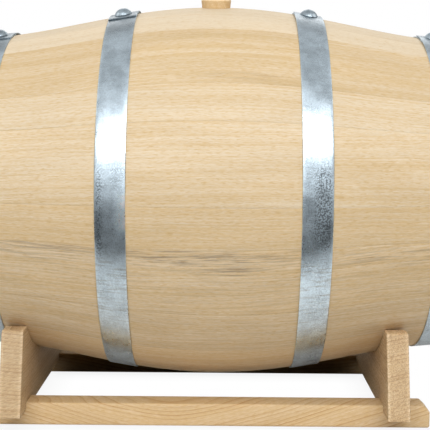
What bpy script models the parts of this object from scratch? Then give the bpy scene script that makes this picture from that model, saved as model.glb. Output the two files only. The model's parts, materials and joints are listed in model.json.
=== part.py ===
"""Oak wine barrel lying on a two-rail wooden cradle.

Metres, +Z up. X runs along the barrel, Y across it, and the floor is Z = 0. The barrel is made of
18 staves, two heads of tongued boards, four riveted hoops and a tapered bung. The cradle is two
boards lapped over two rails and screwed to them from below.

The barrel's pieces hang on the empty barrel_axis, at the middle of the barrel's axis, and the bung
has its origin on the axis it is pulled out along. Touching pieces keep a gap of about 0.3 mm.
"""

import math

import bmesh
import bpy
from mathutils import Matrix, Vector

GAP = 0.0003  # between pieces that touch
SHARP_EDGE_DEG = 28  # edges bent by more than this are shaded sharp

# Barrel body
BILGE_RADIUS = 0.185  # outside, at the middle
HALF_LENGTH = 0.2375
END_DROP = 0.03085  # outside radius lost from the middle to the ends
STAVE_THICKNESS = 0.020
OUTER_STEPS = 10  # facets along a stave's outside
INNER_STEPS = 8  # facets along its inside, between the two crozes
STAVE_FACET_DEG = 6.5  # largest facet across a stave
CHIME_BEVEL = 0.014  # length of the bevel inside each end
CHIME_TIP = 0.011  # stave thickness left at the very end
END_CHAMFER = 0.002
# Stave widths in degrees, from the bung stave over the front (-Y) and round the back
BUNG_STAVE_DEG = 28.0
STAVE_DEG = (
    (10.1, 23.2, 11.9, 23.8, 11.8, 20.7)
    + (16.5, 20.5, 19.0, 21.5, 23.0, 18.5)
    + (24.0, 21.5, 19.0, 23.5, 23.5)
)

# Heads and the crozes that hold them
HEAD_THICKNESS = 0.018
HEAD_INSET = 0.028  # from a stave's end to the middle of the croze
CROZE_WIDTH = 0.006
CROZE_DEPTH = 0.005
RIM_TONGUE = 0.0058  # depth of the thin rim that enters the croze
RIM_BEVEL_OUTSIDE = 0.020
RIM_BEVEL_INSIDE = 0.012
HEAD_SEGMENTS = 60
HEAD_BOARD_SHARES = (0.214, 0.192, 0.206, 0.185, 0.203)  # of the head's diameter
TONGUE_WIDTH = 0.005
TONGUE_LENGTH = 0.0045

# Hoops: strips of steel that lap themselves near the top, with one rivet through the lap
HOOP_WIDTH = 0.0276
HOOP_THICKNESS = 0.0012
QUARTER_HOOP_X = 0.0903  # middle of a quarter hoop
HEAD_HOOP_X = 0.2133  # middle of a head hoop
HOOP_STEPS = 68
BULGE_SAMPLES = 20  # points across a hoop where its clearance is checked
LAP_MIDDLE_DEG = 12.4  # from the top towards the front
LAP_HALF_DEG = 5.4
LAP_RAMP_DEG = 9.0
LAP_RAMP_SHARE = 0.9  # of the ramp, so that the rise is over before the lap begins
RIVET_HEAD_RADIUS = 0.00825
RIVET_HEAD_HEIGHT = 0.0052
RIVET_SHANK_RADIUS = 0.0035
RIVET_FLAT_RADIUS = 0.0008  # small flat at the top of the dome
RIVET_SEGMENTS = 20
DOME_STEPS = 4

# Bung, a tapered wooden plug
BUNG_RADIUS = 0.0140  # at the outside of the stave
BUNG_TAPER = 0.11  # radius gained per length
BUNG_PROUD = 0.0080
BUNG_TILT_DEG = 7.5  # the barrel lies rolled a little forward, and its bung with it
BUNG_INSIDE = 0.025  # length below the outside of the stave
BUNG_CHAMFER = 0.0013
BUNG_SEGMENTS = 32

# Cradle
AXIS_HEIGHT = 0.2141  # barrel axis above the floor
CRADLE_OFFSET = -0.0079  # the barrel doesn't lie quite in the middle of its cradle
BOARD_INNER_X = 0.1678  # from the cradle's middle to a board's inner face
BOARD_THICKNESS = 0.0204
BOARD_GAP = 0.0005  # between the barrel and the faceted hollow
HORN_Z = 0.0925
HORN_HALF_DEPTH = 0.1262
FOOT_HALF_DEPTH = 0.1481
BOARD_BOTTOM_Z = 0.0145
HOLLOW_STEPS = 9  # facets in each half of the hollow
RAIL_HALF_LENGTH = 0.2120
RAIL_WIDTH = 0.0286
RAIL_HEIGHT = 0.0214
RAIL_FRONT_Y = 0.1159  # front face of the front rail, from the middle
RAIL_EDGE = 0.0025
HORN_TIP_EDGE = 0.0015  # rounding where a horn meets the hollow
HORN_EDGE = 0.004
FOOT_EDGE = 0.002
SCREW_LENGTH = 0.040
SCREW_RADIUS = 0.0020
SCREW_HEAD_RADIUS = 0.0042
SCREW_HEAD_LENGTH = 0.0030
SCREW_RECESS = 0.0006
SCREW_SEGMENTS = 16

# Colour, roughness and metallic value of each material
OAK = (0.72, 0.55, 0.36), 0.55, 0.0
HEAD_OAK = (0.70, 0.53, 0.35), 0.60, 0.0
BUNG_WOOD = (0.68, 0.46, 0.24), 0.60, 0.0
CRADLE_OAK = (0.66, 0.49, 0.31), 0.60, 0.0
GALVANISED = (0.55, 0.58, 0.61), 0.35, 1.0
ZINC = (0.62, 0.62, 0.60), 0.40, 1.0


def clear_scene():
    for obj in list(bpy.data.objects):
        bpy.data.objects.remove(obj)


def material(name, look):
    colour, roughness, metallic = look
    mat = bpy.data.materials.new(name)
    mat.use_nodes = True
    shader = mat.node_tree.nodes["Principled BSDF"]
    shader.inputs["Base Color"].default_value = (*colour, 1.0)
    shader.inputs["Roughness"].default_value = roughness
    shader.inputs["Metallic"].default_value = metallic
    return mat


def add_piece(name, bm, look, parent=None, place=(0.0, 0.0, 0.0)):
    """Turns a bmesh into a named object with its own material, its faces pointing out."""
    bmesh.ops.recalc_face_normals(bm, faces=bm.faces)
    mesh = bpy.data.meshes.new(name)
    bm.to_mesh(mesh)
    bm.free()
    mesh.shade_smooth()
    mesh.set_sharp_from_angle(angle=math.radians(SHARP_EDGE_DEG))
    mesh.materials.append(material(name, look))
    obj = bpy.data.objects.new(name, mesh)
    obj.location = place
    obj.parent = parent
    bpy.context.scene.collection.objects.link(obj)
    return obj


def add_cutter(name, bm, parent=None, place=(0.0, 0.0, 0.0)):
    cutter = add_piece(name, bm, OAK, parent, place)
    cutter.hide_render = True
    cutter.display_type = "WIRE"
    return cutter


def cut(obj, cutter, operation="DIFFERENCE"):
    modifier = obj.modifiers.new(cutter.name, "BOOLEAN")
    modifier.operation = operation
    modifier.solver = "EXACT"
    modifier.object = cutter


def skin(rows):
    """A bmesh through rows of points, each row a closed loop, with a cap at each end."""
    bm = bmesh.new()
    loops = [[bm.verts.new(point) for point in row] for row in rows]
    for a, b in zip(loops, loops[1:]):
        for i in range(len(a)):
            j = (i + 1) % len(a)
            bm.faces.new((a[i], a[j], b[j], b[i]))
    bm.faces.new(loops[0])
    bm.faces.new(loops[-1])
    return bm


def lathe(profile, segments, turn=None):
    """Turns (radius, height) points about Z, from one flat end to the other."""
    rows = []
    for radius, height in profile:
        angles = [2 * math.pi * k / segments for k in range(segments)]
        rows.append([Vector((radius * math.cos(a), radius * math.sin(a), height)) for a in angles])
    bm = skin(rows)
    if turn:
        bmesh.ops.transform(bm, matrix=turn, verts=bm.verts)
    return bm


def extrude_outline(outline, low_x, high_x):
    """A prism along X from (y, z) points."""
    return skin([[Vector((x, y, z)) for y, z in outline] for x in (low_x, high_x)])


def ring_point(x, radius, degrees, shift=0.0):
    """A point round the barrel's axis, at an angle from the top towards the front, shifted sideways."""
    angle = math.radians(degrees)
    y = -radius * math.sin(angle) - shift * math.cos(angle)
    z = radius * math.cos(angle) - shift * math.sin(angle)
    return Vector((x, y, z))


# --- Barrel body ---------------------------------------------------------------------------------


def outer_radius(x):
    """Outside of the staves: a full bilge that runs out straight at the ends."""
    t = x / HALF_LENGTH
    return BILGE_RADIUS - END_DROP * (2 * t**2 - t**4)


def inner_radius(x):
    return outer_radius(x) - STAVE_THICKNESS


def croze_bottom():
    return inner_radius(HALF_LENGTH - HEAD_INSET) + CROZE_DEPTH


def stave_section():
    """Half outside, end, croze and half inside, mirrored: a stave's (x, radius) outline."""
    croze_x = HALF_LENGTH - HEAD_INSET
    chamfer_x = HALF_LENGTH - END_CHAMFER
    outside = [i * chamfer_x * 2 / OUTER_STEPS for i in range(1, OUTER_STEPS // 2 + 1)]
    inside = [i * (croze_x - CROZE_WIDTH / 2) * 2 / INNER_STEPS for i in range(1, INNER_STEPS // 2 + 1)]
    end_radius = outer_radius(HALF_LENGTH)
    half = [(x, outer_radius(x)) for x in outside]
    half.append((HALF_LENGTH, end_radius - END_CHAMFER))
    half.append((HALF_LENGTH, end_radius - CHIME_TIP))
    half.append((HALF_LENGTH - CHIME_BEVEL, inner_radius(HALF_LENGTH - CHIME_BEVEL)))
    half.append((croze_x + CROZE_WIDTH / 2, inner_radius(croze_x + CROZE_WIDTH / 2)))
    half.append((croze_x + CROZE_WIDTH / 2, croze_bottom()))
    half.append((croze_x - CROZE_WIDTH / 2, croze_bottom()))
    half.extend((x, inner_radius(x)) for x in reversed(inside))
    mirrored = [(-x, radius) for x, radius in reversed(half)]
    return [(0.0, BILGE_RADIUS)] + half + [(0.0, inner_radius(0.0))] + mirrored


def stave(name, start_deg, width_deg, parent):
    steps = max(2, math.ceil(width_deg / STAVE_FACET_DEG))
    section = stave_section()
    rows = []
    for k in range(steps + 1):
        degrees = start_deg + width_deg * k / steps
        shift = {0: GAP / 2, steps: -GAP / 2}.get(k, 0.0)
        rows.append([ring_point(x, radius, degrees, shift) for x, radius in section])
    return add_piece(name, skin(rows), OAK, parent)


def staves(parent):
    """All the staves, from the bung stave at the top; the bung stave is given back."""
    start = BUNG_TILT_DEG - BUNG_STAVE_DEG / 2
    bung_stave = stave("bung_stave", start, BUNG_STAVE_DEG, parent)
    start += BUNG_STAVE_DEG
    for number, width in enumerate(STAVE_DEG, start=2):
        stave(f"stave_{number:02d}", start, width, parent)
        start += width
    return bung_stave


# --- Heads ---------------------------------------------------------------------------------------


def head_disc():
    """The whole head as one turned disc, its outer face at +Z."""
    half = HEAD_THICKNESS / 2
    rim = croze_bottom() * math.cos(math.radians(STAVE_FACET_DEG / 2)) - GAP
    edge = CROZE_WIDTH / 2 - GAP
    shoulder = rim - RIM_TONGUE
    lower = [(shoulder - RIM_BEVEL_INSIDE, -half), (shoulder, -edge), (rim, -edge)]
    upper = [(rim, edge), (shoulder, edge), (shoulder - RIM_BEVEL_OUTSIDE, half)]
    return lathe(lower + upper, HEAD_SEGMENTS)


def head_blank(low_y, high_y, grooved, tongued):
    """A board's (x, y) outline with its groove and tongue, as a tall prism that cuts it from the disc."""
    thick = HEAD_THICKNESS
    tongue = TONGUE_WIDTH / 2
    groove = tongue + GAP
    outline = [(-thick, low_y), (-thick, high_y)]
    if tongued:
        outline += [(-tongue, high_y), (-tongue, high_y + TONGUE_LENGTH)]
        outline += [(tongue, high_y + TONGUE_LENGTH), (tongue, high_y)]
    outline += [(thick, high_y), (thick, low_y)]
    if grooved:
        outline += [(groove, low_y), (groove, low_y + TONGUE_LENGTH)]
        outline += [(-groove, low_y + TONGUE_LENGTH), (-groove, low_y)]
    tall = BILGE_RADIUS
    return skin([[Vector((x, y, z)) for x, y in outline] for z in (-tall, tall)])


def head(side, sign, parent):
    """Five tongued boards standing upright, cut from one disc with its rim bevelled to the croze."""
    place = (sign * (HALF_LENGTH - HEAD_INSET), 0.0, 0.0)
    turn = Matrix.Rotation(sign * math.pi / 2, 4, "Y")
    diameter = 2 * croze_bottom()
    low = -croze_bottom()
    last = len(HEAD_BOARD_SHARES)
    for number, share in enumerate(HEAD_BOARD_SHARES, start=1):
        high = low + share * diameter
        bm = head_disc()
        bmesh.ops.transform(bm, matrix=turn, verts=bm.verts)
        board = add_piece(f"head_{side}_board_{number}", bm, HEAD_OAK, parent, place)
        low_y = low + GAP / 2 if number > 1 else -BILGE_RADIUS
        high_y = high - GAP / 2 if number < last else BILGE_RADIUS
        blank = head_blank(low_y, high_y, number > 1, number < last)
        cutter = add_cutter(f"blank_{side}_{number}", blank, parent, place)
        cut(board, cutter, "INTERSECT")
        low = high


# --- Hoops and rivets ----------------------------------------------------------------------------


def facet_radius(x):
    """Outside of the staves as their facets have it, on straight lines between the section's points."""
    step = (HALF_LENGTH - END_CHAMFER) * 2 / OUTER_STEPS
    start = math.floor(x / step) * step
    t = (x - start) / step
    return outer_radius(start) * (1 - t) + outer_radius(start + step) * t


def hoop_line(middle_x):
    """Ends of the hoop's inner line, (x, radius) twice: a cone that clears the staves' curve."""
    low_x, high_x = middle_x - HOOP_WIDTH / 2, middle_x + HOOP_WIDTH / 2
    low, high = facet_radius(low_x), facet_radius(high_x)
    samples = [k / BULGE_SAMPLES for k in range(BULGE_SAMPLES + 1)]
    bulge = max(facet_radius(low_x + t * HOOP_WIDTH) - low * (1 - t) - high * t for t in samples)
    facet = 1 - math.cos(math.pi / HOOP_STEPS)
    clearance = GAP + bulge + facet * BILGE_RADIUS
    return (low_x, low + clearance), (high_x, high + clearance)


def smooth_step(t):
    t = min(1.0, max(0.0, t))
    return t * t * (3 - 2 * t)


def hoop(name, middle_x, lap_turn, parent):
    """A steel strip round the barrel, its outer end lapped over its inner end near the top.

    lap_turn is 1 where the outer end points to the front, and -1 where it points to the back.
    """
    (x_low, r_low), (x_high, r_high) = hoop_line(middle_x)
    total = 360 + 2 * LAP_HALF_DEG
    lift = HOOP_THICKNESS + GAP
    rows = []
    for k in range(HOOP_STEPS + 1):
        run = total * k / HOOP_STEPS
        degrees = LAP_MIDDLE_DEG + lap_turn * (run - LAP_HALF_DEG)
        up = lift * smooth_step((run - (360 - LAP_RAMP_DEG)) / (LAP_RAMP_DEG * LAP_RAMP_SHARE))
        rows.append(
            [
                ring_point(x_low, r_low + up, degrees),
                ring_point(x_high, r_high + up, degrees),
                ring_point(x_high, r_high + up + HOOP_THICKNESS, degrees),
                ring_point(x_low, r_low + up + HOOP_THICKNESS, degrees),
            ]
        )
    strip = add_piece(name, skin(rows), GALVANISED, parent)
    add_rivet(name, strip, middle_x, parent)


def rivet_frame(middle_x):
    """Moves Z onto the hoop's outward normal at the middle of its lap, its origin on the inner line."""
    (x_low, r_low), (x_high, r_high) = hoop_line(middle_x)
    slope = math.atan2(r_high - r_low, x_high - x_low)
    around = Matrix.Rotation(math.radians(LAP_MIDDLE_DEG), 4, "X")
    out = Matrix.Translation((middle_x, 0.0, (r_low + r_high) / 2))
    return around @ out @ Matrix.Rotation(-slope, 4, "Y")


def add_rivet(hoop_name, strip, middle_x, parent):
    """A domed rivet through both layers of the lap, flush inside."""
    frame = rivet_frame(middle_x)
    seat = 2 * HOOP_THICKNESS + 2 * GAP
    sphere = (RIVET_HEAD_RADIUS**2 + RIVET_HEAD_HEIGHT**2) / (2 * RIVET_HEAD_HEIGHT)
    widest = math.asin(RIVET_HEAD_RADIUS / sphere)
    profile = [(RIVET_SHANK_RADIUS, 0.0), (RIVET_SHANK_RADIUS, seat)]
    for k in range(DOME_STEPS):
        angle = widest * (1 - k / DOME_STEPS)
        height = seat + RIVET_HEAD_HEIGHT - sphere * (1 - math.cos(angle))
        profile.append((sphere * math.sin(angle), height))
    profile.append((RIVET_FLAT_RADIUS, seat + RIVET_HEAD_HEIGHT))
    add_piece(f"rivet_{hoop_name}", lathe(profile, RIVET_SEGMENTS, frame), GALVANISED, parent)
    hole = [(RIVET_SHANK_RADIUS + GAP, -seat), (RIVET_SHANK_RADIUS + GAP, 2 * seat)]
    cut(strip, add_cutter(f"hole_{hoop_name}", lathe(hole, RIVET_SEGMENTS, frame), parent))


def hoops(parent):
    hoop("quarter_hoop_left", -QUARTER_HOOP_X, 1, parent)
    hoop("quarter_hoop_right", QUARTER_HOOP_X, -1, parent)
    hoop("head_hoop_left", -HEAD_HOOP_X, 1, parent)
    hoop("head_hoop_right", HEAD_HOOP_X, -1, parent)


# --- Bung ----------------------------------------------------------------------------------------


def bung_radius(height):
    """Radius at a height above the outside of the stave."""
    return BUNG_RADIUS + BUNG_TAPER * height


def bung(bung_stave, parent):
    """A tapered plug standing proud of the stave, and the tapered hole it fits."""
    top, low = BUNG_PROUD, -BUNG_INSIDE
    profile = [
        (bung_radius(low) - BUNG_CHAMFER, low),
        (bung_radius(low), low + BUNG_CHAMFER),
        (bung_radius(top - BUNG_CHAMFER), top - BUNG_CHAMFER),
        (bung_radius(top) - BUNG_CHAMFER, top),
    ]
    tilt = math.radians(BUNG_TILT_DEG)
    crown_y, crown_z = -BILGE_RADIUS * math.sin(tilt), BILGE_RADIUS * math.cos(tilt)
    plug = tilted(lathe(profile, BUNG_SEGMENTS))
    add_piece("bung", plug, BUNG_WOOD, None, (0.0, crown_y, AXIS_HEIGHT + crown_z))
    deep, high = -2 * STAVE_THICKNESS, STAVE_THICKNESS / 2
    hole = [(bung_radius(deep) + GAP, deep), (bung_radius(high) + GAP, high)]
    cutter = add_cutter("bung_hole", tilted(lathe(hole, BUNG_SEGMENTS)), parent, (0.0, crown_y, crown_z))
    cut(bung_stave, cutter)


def tilted(bm):
    """The bmesh leaning forward with the bung."""
    turn = Matrix.Rotation(math.radians(BUNG_TILT_DEG), 3, "X")
    bmesh.ops.rotate(bm, cent=(0.0, 0.0, 0.0), matrix=turn, verts=bm.verts)
    return bm


# --- Cradle --------------------------------------------------------------------------------------


def rounded(corner, before, after, radius, steps=2):
    """A corner of an outline as a short arc, starting and ending radius from the corner."""
    corner, before, after = Vector(corner), Vector(before), Vector(after)
    start = corner + (before - corner).normalized() * radius
    end = corner + (after - corner).normalized() * radius
    points = []
    for k in range(steps + 1):
        t = k / steps
        points.append(tuple(start * (1 - t) ** 2 + corner * 2 * t * (1 - t) + end * t**2))
    return points


def board_outline(hollow_radius):
    """(y, z) outline: a hollow for the barrel between two horns, and laps over the two rails."""
    rise = AXIS_HEIGHT - HORN_Z
    horn_angle = math.acos(rise / hollow_radius)
    arc = []
    for k in range(1, HOLLOW_STEPS + 1):
        angle = horn_angle * k / HOLLOW_STEPS
        arc.append((hollow_radius * math.sin(angle), AXIS_HEIGHT - hollow_radius * math.cos(angle)))
    horn = (HORN_HALF_DEPTH, HORN_Z)
    foot = (FOOT_HALF_DEPTH, BOARD_BOTTOM_Z)
    lap_outer = RAIL_FRONT_Y + GAP
    lap_inner = RAIL_FRONT_Y - RAIL_WIDTH - GAP
    lap_top = RAIL_HEIGHT + GAP
    half = arc[:-1]
    half += rounded(arc[-1], arc[-2], horn, HORN_TIP_EDGE)
    half += rounded(horn, arc[-1], foot, HORN_EDGE, 3)
    half += rounded(foot, horn, (lap_outer, BOARD_BOTTOM_Z), FOOT_EDGE)
    half += [(lap_outer, BOARD_BOTTOM_Z), (lap_outer, lap_top)]
    half += [(lap_inner, lap_top), (lap_inner, BOARD_BOTTOM_Z)]
    mirrored = [(-y, z) for y, z in reversed(half)]
    return [(0.0, AXIS_HEIGHT - hollow_radius)] + half + mirrored


def screw_profile(spare=0.0):
    """(radius, height) of a countersunk screw standing on its head, grown by spare for its hole."""
    tip = SCREW_RECESS + SCREW_LENGTH + spare
    return [
        (SCREW_HEAD_RADIUS + spare, SCREW_RECESS),
        (SCREW_RADIUS + spare, SCREW_RECESS + SCREW_HEAD_LENGTH),
        (SCREW_RADIUS + spare, tip - 2 * SCREW_RADIUS),
        (SCREW_RADIUS / 4 + spare, tip),
    ]


def screw_hole():
    """The screw's own profile with a gap, open to the rail's underside."""
    return [(SCREW_HEAD_RADIUS + GAP, -GAP)] + screw_profile(GAP)


def cradle():
    """Two boards lapped over two rails, with a screw up through each crossing."""
    rails = {}
    for side, sign in (("front", -1), ("rear", 1)):
        middle_y = sign * (RAIL_FRONT_Y - RAIL_WIDTH / 2)
        bm = bmesh.new()
        bmesh.ops.create_cube(bm, size=1.0)
        size = (2 * RAIL_HALF_LENGTH, RAIL_WIDTH, RAIL_HEIGHT)
        bmesh.ops.scale(bm, vec=size, verts=bm.verts)
        place = (CRADLE_OFFSET, middle_y, RAIL_HEIGHT / 2)
        rail = add_piece(f"rail_{side}", bm, CRADLE_OAK, None, place)
        bevel = rail.modifiers.new("rounded edges", "BEVEL")
        bevel.width = RAIL_EDGE
        bevel.segments = 2
        rails[side] = (rail, middle_y)
    for side, sign in (("left", -1), ("right", 1)):
        inner_x = CRADLE_OFFSET + sign * BOARD_INNER_X
        outer_x = inner_x + sign * BOARD_THICKNESS
        hollow = outer_radius(inner_x) + BOARD_GAP
        bm = extrude_outline(board_outline(hollow), inner_x, outer_x)
        board = add_piece(f"cradle_board_{side}", bm, CRADLE_OAK)
        for rail_side, (rail, middle_y) in rails.items():
            place = ((inner_x + outer_x) / 2, middle_y, 0.0)
            label = f"{rail_side}_{side}"
            add_piece(f"screw_{label}", lathe(screw_profile(), SCREW_SEGMENTS), ZINC, None, place)
            cutter = add_cutter(f"screw_hole_{label}", lathe(screw_hole(), SCREW_SEGMENTS), None, place)
            cut(rail, cutter)
            cut(board, cutter)


def main():
    clear_scene()
    barrel = bpy.data.objects.new("barrel_axis", None)
    barrel.location = (0.0, 0.0, AXIS_HEIGHT)
    bpy.context.scene.collection.objects.link(barrel)
    bung_stave = staves(barrel)
    head("left", -1, barrel)
    head("right", 1, barrel)
    hoops(barrel)
    bung(bung_stave, barrel)
    cradle()


main()
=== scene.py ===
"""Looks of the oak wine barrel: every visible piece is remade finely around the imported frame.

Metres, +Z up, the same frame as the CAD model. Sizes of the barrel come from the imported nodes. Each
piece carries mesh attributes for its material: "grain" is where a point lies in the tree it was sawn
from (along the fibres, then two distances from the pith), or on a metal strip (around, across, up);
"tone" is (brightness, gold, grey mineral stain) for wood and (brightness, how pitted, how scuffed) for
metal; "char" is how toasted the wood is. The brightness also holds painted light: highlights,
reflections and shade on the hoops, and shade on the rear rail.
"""

import json
import math

import bmesh
import bpy
from mathutils import Matrix, Vector, noise

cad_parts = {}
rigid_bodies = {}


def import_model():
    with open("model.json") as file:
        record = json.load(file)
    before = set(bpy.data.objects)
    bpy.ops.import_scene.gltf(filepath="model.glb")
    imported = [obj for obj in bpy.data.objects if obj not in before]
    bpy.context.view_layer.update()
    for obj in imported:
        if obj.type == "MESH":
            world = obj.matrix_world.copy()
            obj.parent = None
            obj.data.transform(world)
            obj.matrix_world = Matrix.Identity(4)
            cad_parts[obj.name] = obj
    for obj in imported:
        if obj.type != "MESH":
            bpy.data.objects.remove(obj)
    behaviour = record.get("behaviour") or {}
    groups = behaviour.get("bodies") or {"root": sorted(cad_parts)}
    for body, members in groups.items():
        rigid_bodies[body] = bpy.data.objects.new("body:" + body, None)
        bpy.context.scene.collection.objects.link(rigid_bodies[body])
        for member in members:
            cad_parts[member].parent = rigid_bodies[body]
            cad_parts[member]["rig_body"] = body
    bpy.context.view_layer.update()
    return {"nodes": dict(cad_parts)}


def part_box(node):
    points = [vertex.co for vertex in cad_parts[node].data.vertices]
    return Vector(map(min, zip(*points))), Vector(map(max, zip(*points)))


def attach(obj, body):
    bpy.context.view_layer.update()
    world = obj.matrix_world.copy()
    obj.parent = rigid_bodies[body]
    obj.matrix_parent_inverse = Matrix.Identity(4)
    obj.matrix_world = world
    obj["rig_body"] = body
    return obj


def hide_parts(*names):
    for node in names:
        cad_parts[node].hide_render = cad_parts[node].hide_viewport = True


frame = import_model()

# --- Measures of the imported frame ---

AXIS_HEIGHT = sum(corner.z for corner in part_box("head_left_board_3")) / 2
HALF_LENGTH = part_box("bung_stave")[1].x


def polar(point):
    """(distance from the barrel's axis, degrees from the top towards the front) of a point."""
    y, z = point[1], point[2] - AXIS_HEIGHT
    return math.hypot(y, z), math.degrees(math.atan2(-y, z))


def ring_point(x, radius, degrees):
    """The point at that distance and angle."""
    angle = math.radians(degrees)
    return Vector((x, -radius * math.sin(angle), AXIS_HEIGHT + radius * math.cos(angle)))


def cad_radii(node, x):
    """Distances from the axis of the CAD node's vertices at x."""
    vertices = frame["nodes"][node].data.vertices
    return [polar(v.co)[0] for v in vertices if abs(v.co.x - x) < 1e-4]


def middle_degrees(node):
    low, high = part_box(node)
    return polar((low + high) / 2)[1]


def span_degrees(node):
    """(first, last) angle of a stave at the bilge, counted on from the top over the front."""
    near = middle_degrees(node) % 360 if node != "bung_stave" else 0.0
    turns = []
    for vertex in frame["nodes"][node].data.vertices:
        radius, degrees = polar(vertex.co)
        if radius > BILGE_RADIUS - 1e-4:
            turns.append((degrees - near + 180) % 360 - 180)
    return near + min(turns), near + max(turns)


END_CHAMFER = 0.002
BILGE_RADIUS = max(cad_radii("stave_02", 0.0))
STAVE_THICKNESS = BILGE_RADIUS - min(cad_radii("stave_02", 0.0))
END_DROP = BILGE_RADIUS - max(cad_radii("stave_02", HALF_LENGTH)) - END_CHAMFER
STAVES = sorted(n for n in frame["nodes"] if n.startswith("stave_"))
HOOPS = sorted(n for n in frame["nodes"] if "_hoop_" in n and not n.startswith("rivet"))

# Fits
GAP = 0.0003
JOINT_GAP = 0.00003  # between two staves
HOLE_SPARE = 0.0002  # round the bung and the screws
HOLLOW_SPARE = 0.0002  # under the barrel
STRIP_REST = 0.00012  # under a hoop

# Staves and heads, as in the part
CHIME_BEVEL = 0.014
CHIME_TIP = 0.011
HEAD_INSET = 0.028
CROZE_WIDTH = 0.006
CROZE_DEPTH = 0.005
HEAD_THICKNESS = 0.018
RIM_TONGUE = 0.0058
RIM_BEVEL_OUTSIDE = 0.020
RIM_BEVEL_INSIDE = 0.012
TONGUE_WIDTH = 0.005
TONGUE_LENGTH = 0.0045
ARRIS = 0.00014  # rounding along the edges of staves
HEAD_ARRIS = 0.0005  # the same on the joints of a head
STAVE_STEP = 0.0022  # across a stave, between lines of points
OUTSIDE_STEPS = 108
INSIDE_STEPS = 40
STAVE_CHAR = 0.0035  # depth of the toasting
HEAD_CHAR = 0.002
STAVE_PITH_DEPTH = 0.004  # of the log's middle under the stave's face
NEXT_STAVE = 1.7  # along the fibres, from one stave's wood to the next one's
HEAD_PITH = 0.10  # beside a head board's middle
HEAD_TILT = 0.02  # how much that grows up the board
NEXT_BOARD = 0.9  # along the fibres, from one head board's wood to the next one's

# Bung
BUNG_CHAMFER = 0.0013
BUNG_STEPS = 40
BUNG_PITH = (0.06, 0.03)  # beside its middle, and under its top
TOOL_RINGS = 9.5  # down the bung's side
TOOL_RING_DEPTH = 0.00006

# Hoops and rivets
STRIP_THICKNESS = 0.0012
LAP_HALF_DEG = 5.4
LAP_RAMP_DEG = 18.0
LAP_RAMP_SHARE = 0.9
STRIP_EDGE = 0.00058  # rounding of the strip's edges
STRIP_STEP_DEG = 1.2
END_ROUND_DEG = 0.05  # each of two steps that round off the strip's ends
DENT = 0.00006  # how far the strip swells and dips
RIVET_RADIUS = 0.0088
RIVET_HEIGHT = 0.0058
RIVET_SHANK = 0.0034
RIVET_DISH = 0.00018  # where the hammer caught it

# Cradle
HORN_HALF_DEPTH = 0.1262  # from the middle of a board to the tips of its horns
HOLLOW_LIP = 0.0012  # easing of a board's corners
HORN_TIP = 0.0040
FOOT_CORNER = 0.0020
BOARD_EDGE = 0.0026
WORN_EDGE = 0.0036  # depth of the pale strip along a board's edges
RAIL_EDGE = 0.0022
RAIL_END_CUT = 0.006
RAIL_CORNER = 0.0012
RAIL_PITH = (0.12, 0.01)  # below its foot, and in front of its face
RAIL_SLICES = 64
SCREW_HEAD = 0.0042  # two radii, then heights over its foot
SCREW_SHANK = 0.0020
SCREW_CONE_TOP = 0.0030
SCREW_SHANK_TOP = 0.036
SCREW_TIP = 0.040
RECESS = (0.0046, 0.0009, 0.0030)  # length, width and height of a cross arm's cutter, half sunk in

# Stage
TABLE_HALF_X = 0.60
TABLE_DEPTH = 0.001  # below the floor, and the cards on it half as deep
CARD_OUTER_Y = 0.345
CARD_INNER_Y = {"front": 0.05, "back": 0.16}
FLOOR_HALF = 30.0
FLAG_DISTANCE = 0.012  # from the rear rail
FLAG_RISE = 0.002  # over its top

# Camera
CAMERA_PLACE = (0.00627, -1.09008, 0.29620)
CAMERA_LENS = 88.76
CAMERA_YAW = 0.0057
CAMERA_PITCH = 0.0983
CAMERA_ROLL = 0.0069


# --- Meshes ---


def skin(rows):
    """A bmesh through rows of points, each row a closed loop, with a cap at each end."""
    bm = bmesh.new()
    loops = [[bm.verts.new(point) for point in row] for row in rows]
    for a, b in zip(loops, loops[1:]):
        for i in range(len(a)):
            j = (i + 1) % len(a)
            bm.faces.new((a[i], a[j], b[j], b[i]))
    bm.faces.new(loops[0])
    bm.faces.new(loops[-1])
    bmesh.ops.recalc_face_normals(bm, faces=bm.faces)
    return bm


def lathe(profile, segments, turn=None):
    """Turns (radius, height) points about Z, from one flat end to the other."""
    rows = []
    for radius, height in profile:
        angles = [2 * math.pi * k / segments for k in range(segments)]
        rows.append([Vector((radius * math.cos(a), radius * math.sin(a), height)) for a in angles])
    bm = skin(rows)
    if turn:
        bmesh.ops.transform(bm, matrix=turn, verts=bm.verts)
    return bm


def new_object(name, bm):
    mesh = bpy.data.meshes.new(name)
    bm.to_mesh(mesh)
    bm.free()
    obj = bpy.data.objects.new(name, mesh)
    bpy.context.scene.collection.objects.link(obj)
    return obj


def combine(bm, tool, operation):
    """The bmesh cut by, or kept inside, another."""
    obj, cutter = new_object("work", bm), new_object("tool", tool)
    modifier = obj.modifiers.new("cut", "BOOLEAN")
    modifier.operation = operation
    modifier.solver = "EXACT"
    modifier.object = cutter
    bpy.context.view_layer.update()
    evaluated = obj.evaluated_get(bpy.context.evaluated_depsgraph_get())
    result = bmesh.new()
    result.from_mesh(evaluated.to_mesh())
    evaluated.to_mesh_clear()
    for old in (obj, cutter):
        mesh = old.data
        bpy.data.objects.remove(old)
        bpy.data.meshes.remove(mesh)
    return result


def round_edges(bm, edges, width, segments):
    bmesh.ops.bevel(
        bm, geom=edges, offset=width, segments=segments, profile=0.5, affect="EDGES", clamp_overlap=True
    )


def slice_at(bm, x):
    """Adds edges where the mesh crosses a plane at x, so that its attributes may change there."""
    geometry = bm.verts[:] + bm.edges[:] + bm.faces[:]
    bmesh.ops.bisect_plane(bm, geom=geometry, plane_co=(x, 0.0, 0.0), plane_no=(1.0, 0.0, 0.0))


def sort_faces(bm):
    """Puts the faces in the order of their points: slicing leaves them in a new one each run."""
    bm.verts.index_update()
    ordered = sorted(bm.faces, key=lambda face: sorted(vertex.index for vertex in face.verts))
    for number, face in enumerate(ordered):
        face.index = number
    bm.faces.sort()


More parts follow.
